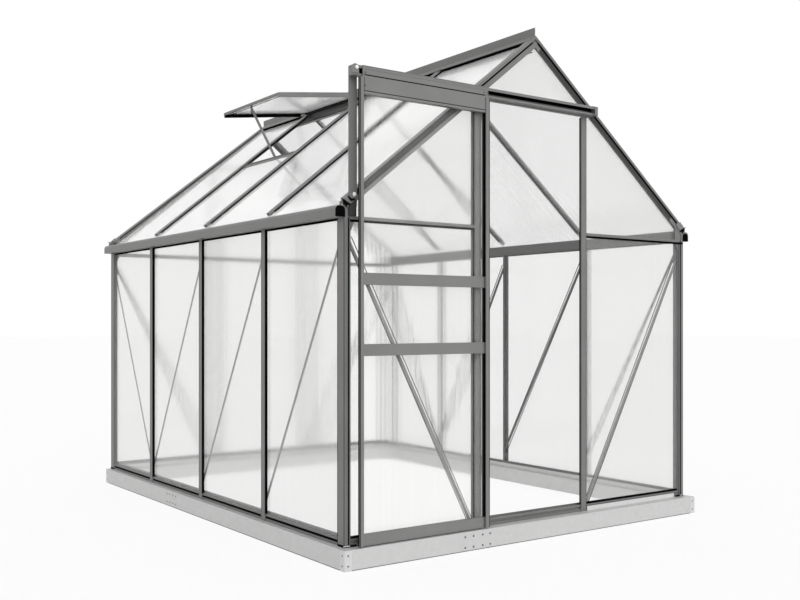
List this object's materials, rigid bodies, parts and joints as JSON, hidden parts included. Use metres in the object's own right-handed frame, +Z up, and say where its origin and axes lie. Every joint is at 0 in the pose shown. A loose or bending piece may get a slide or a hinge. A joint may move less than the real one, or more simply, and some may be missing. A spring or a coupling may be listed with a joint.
{
  "type": "greenhouse",
  "caption": "Gabled polycarbonate greenhouse with an aluminium profile frame, steel base, open roof vent and a sliding door on an overhead track.",
  "frame": {"origin": "middle of the base's underside, on the floor", "axes": "+Z up, +Y along the ridge towards the back gable, +X to the right seen from the door gable"},
  "size_m": [1.978, 2.5, 2.1379],
  "materials": {
    "base_sides": "galvanised, satin",
    "base_ends": "galvanised, satin",
    "base_brackets": "galvanised, satin",
    "sill_sides": "powder coated, satin grey",
    "sill_ends": "powder coated, satin grey",
    "corner_posts": "powder coated, satin grey",
    "left_studs": "powder coated, satin grey",
    "right_studs": "powder coated, satin grey",
    "door_posts": "powder coated, satin grey",
    "back_posts": "powder coated, satin grey",
    "left_gutter": "powder coated, satin grey",
    "right_gutter": "powder coated, satin grey",
    "ridge": "powder coated, satin grey",
    "front_rafters": "powder coated, satin grey",
    "back_rafters": "powder coated, satin grey",
    "left_roof_bars": "powder coated, satin grey",
    "right_roof_bars": "powder coated, satin grey",
    "front_crossbars": "powder coated, satin grey",
    "back_crossbars": "powder coated, satin grey",
    "side_braces": "powder coated, satin grey",
    "gable_braces": "powder coated, satin grey",
    "left_wall_sheets": "clear twin-wall polycarbonate",
    "right_wall_sheets": "clear twin-wall polycarbonate",
    "front_sheets": "clear twin-wall polycarbonate",
    "back_sheets": "clear twin-wall polycarbonate",
    "left_roof_sheets": "clear twin-wall polycarbonate",
    "right_roof_sheets": "clear twin-wall polycarbonate",
    "vent_frame": "powder coated, satin grey",
    "vent_sheet": "clear twin-wall polycarbonate",
    "vent_stay": "powder coated, satin grey",
    "vent_sill": "powder coated, satin grey",
    "door_track": "powder coated, satin grey",
    "track_support": "powder coated, satin grey",
    "door_stiles": "powder coated, satin grey",
    "door_top_rail": "powder coated, satin grey",
    "door_mid_rails": "powder coated, satin grey",
    "door_bottom_rail": "powder coated, satin grey",
    "door_sheets": "clear twin-wall polycarbonate",
    "door_rollers": "matt black"
  },
  "bodies": {
    "house": {"base_sides": "base_sides", "base_ends": "base_ends", "base_brackets": "base_brackets", "sill_sides": "sill_sides", "sill_ends": "sill_ends", "corner_posts": "corner_posts", "left_studs": "left_studs", "right_studs": "right_studs", "door_posts": "door_posts", "back_posts": "back_posts", "left_gutter": "left_gutter", "right_gutter": "right_gutter", "ridge": "ridge", "front_rafters": "front_rafters", "back_rafters": "back_rafters", "left_roof_bars": "left_roof_bars", "right_roof_bars": "right_roof_bars", "front_crossbars": "front_crossbars", "back_crossbars": "back_crossbars", "side_braces": "side_braces", "gable_braces": "gable_braces", "left_wall_sheets": "left_wall_sheets", "right_wall_sheets": "right_wall_sheets", "front_sheets": "front_sheets", "back_sheets": "back_sheets", "left_roof_sheets": "left_roof_sheets", "right_roof_sheets": "right_roof_sheets", "vent_frame": "vent_frame", "vent_sheet": "vent_sheet", "vent_stay": "vent_stay", "vent_sill": "vent_sill", "door_track": "door_track", "track_support": "track_support"},
    "door": {"door_stiles": "door_stiles", "door_top_rail": "door_top_rail", "door_mid_rails": "door_mid_rails", "door_bottom_rail": "door_bottom_rail", "door_sheets": "door_sheets", "door_rollers": "door_rollers"}
  },
  "joints": [
    {"name": "door_slide", "type": "slide", "parent": "house", "child": "door", "axis": [1, 0, 0], "range_m": [0, 0.5848]}
  ]
}
